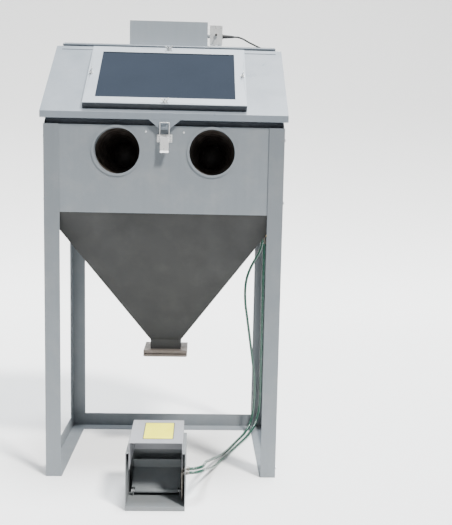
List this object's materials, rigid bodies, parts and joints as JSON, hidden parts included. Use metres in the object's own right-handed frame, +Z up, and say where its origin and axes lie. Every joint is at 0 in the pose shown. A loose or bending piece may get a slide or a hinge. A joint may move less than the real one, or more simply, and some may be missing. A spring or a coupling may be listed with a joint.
{
  "type": "sandblast cabinet",
  "caption": "Floor-standing blasting cabinet with a sloping windowed lid, glove ports, angle-iron legs, a funnel hopper, a roof light and a foot pedal on air hoses.",
  "frame": {"origin": "floor under the centre of the object's box, cords and hoses left out", "axes": "+Z up, +X to the operator's right, +Y from the operator towards the cabinet's rear"},
  "size_m": [0.936, 0.954, 1.8501],
  "materials": {
    "painted_frame": "satin paint, worn at the edges",
    "painted_panel": "satin paint",
    "painted_lid": "pale satin paint",
    "dark_hopper": "dull dark paint",
    "worn_steel": "worn, dusty",
    "zinc": "zinc plated",
    "black_foam": "matt closed-cell foam",
    "clear_glass": "clear, slightly etched",
    "lamp_glass": "opal",
    "black_rubber": "matt",
    "ceramic": "unglazed ceramic",
    "brass": "dull brass",
    "pedal_paint": "worn grey paint",
    "pedal_hood": "pale paint",
    "green_hose": "glossy green braided rubber"
  },
  "bodies": {
    "root": {"leg_front_left": "painted_frame", "leg_front_right": "painted_frame", "leg_rear_left": "painted_frame", "leg_rear_right": "painted_frame", "rail_left": "painted_frame", "rail_right": "painted_frame", "rail_rear": "painted_frame", "front_panel": "painted_panel", "side_panel_left": "painted_panel", "side_panel_right": "painted_panel", "rear_panel": "painted_panel", "top_pan": "painted_lid", "lid_seal": "black_foam", "hopper": "dark_hopper", "outlet_flange": "worn_steel", "work_grate": "dark_hopper", "frame_bolts": "zinc", "hinge_leaf_body": "zinc", "hinge_pin": "zinc", "latch_base": "zinc", "panel_rivets": "zinc", "light_box": "painted_panel", "lamp_tube": "lamp_glass", "light_lens": "clear_glass", "handy_box": "zinc", "cord_relief": "black_rubber", "power_cord": "black_rubber", "power_coil": "black_rubber", "power_plug": "black_rubber", "glove_rings": "zinc", "glove_left": "black_rubber", "glove_right": "black_rubber", "glove_clamps": "zinc", "blast_gun": "worn_steel", "blast_nozzle": "ceramic", "gun_bracket": "zinc", "pickup_tube": "worn_steel", "air_inlet": "brass", "dust_collar": "zinc", "pedal_base": "pedal_paint", "pedal_guard": "pedal_hood", "treadle_pin": "zinc", "foot_valve": "brass", "pedal_spring": "zinc", "hose_fittings": "brass", "air_hose_supply": "green_hose", "air_hose_gun": "green_hose"},
    "lid": {"hinge_leaf_lid": "zinc", "lid_pan": "painted_lid", "window_gasket": "black_foam", "window_glass": "clear_glass", "window_frame": "zinc", "wing_nuts": "zinc", "latch_strike": "painted_lid"},
    "gate": {"slide_gate": "worn_steel"},
    "lever": {"latch_lever": "zinc"},
    "bail": {"latch_bail": "zinc"},
    "toggle": {"switch_toggle": "black_rubber"},
    "treadle": {"treadle": "pedal_paint"},
    "plunger": {"valve_plunger": "zinc"}
  },
  "joints": [
    {"name": "lid_hinge", "type": "hinge", "parent": "root", "child": "lid", "pos_m": [0, 0.16623, 1.73208], "axis": [-1, 0, 0], "range_deg": [0, 115]},
    {"name": "gate_slide", "type": "slide", "parent": "root", "child": "gate", "axis": [0, -1, 0], "range_m": [0, 0.15]},
    {"name": "latch_turn", "type": "hinge", "parent": "root", "child": "lever", "pos_m": [0, -0.186, 1.337], "axis": [-1, 0, 0], "range_deg": [0, 100]},
    {"name": "bail_turn", "type": "hinge", "parent": "lever", "child": "bail", "pos_m": [0, -0.188, 1.327], "axis": [-1, 0, 0], "range_deg": [-110.5, 0]},
    {"name": "switch_turn", "type": "hinge", "parent": "root", "child": "toggle", "pos_m": [0.194, 0.2515, 1.801], "axis": [-1, 0, 0], "range_deg": [0, 30]},
    {"name": "treadle_turn", "type": "hinge", "parent": "root", "child": "treadle", "pos_m": [0, -0.38, 0.034], "axis": [-1, 0, 0], "range_deg": [0, 12], "stiffness_Nm_per_rad": 4, "springref_deg": -17.19},
    {"name": "plunger_slide", "type": "slide", "parent": "root", "child": "plunger", "axis": [0, 0, -1], "range_m": [0, 0.0127], "deforming": ["pedal_spring"]}
  ],
  "couplings": [
    {"joint": "bail_turn", "follows": "latch_turn", "ratio": -1.1},
    {"joint": "plunger_slide", "follows": "treadle_turn", "m_per_rad": 0.0602}
  ]
}
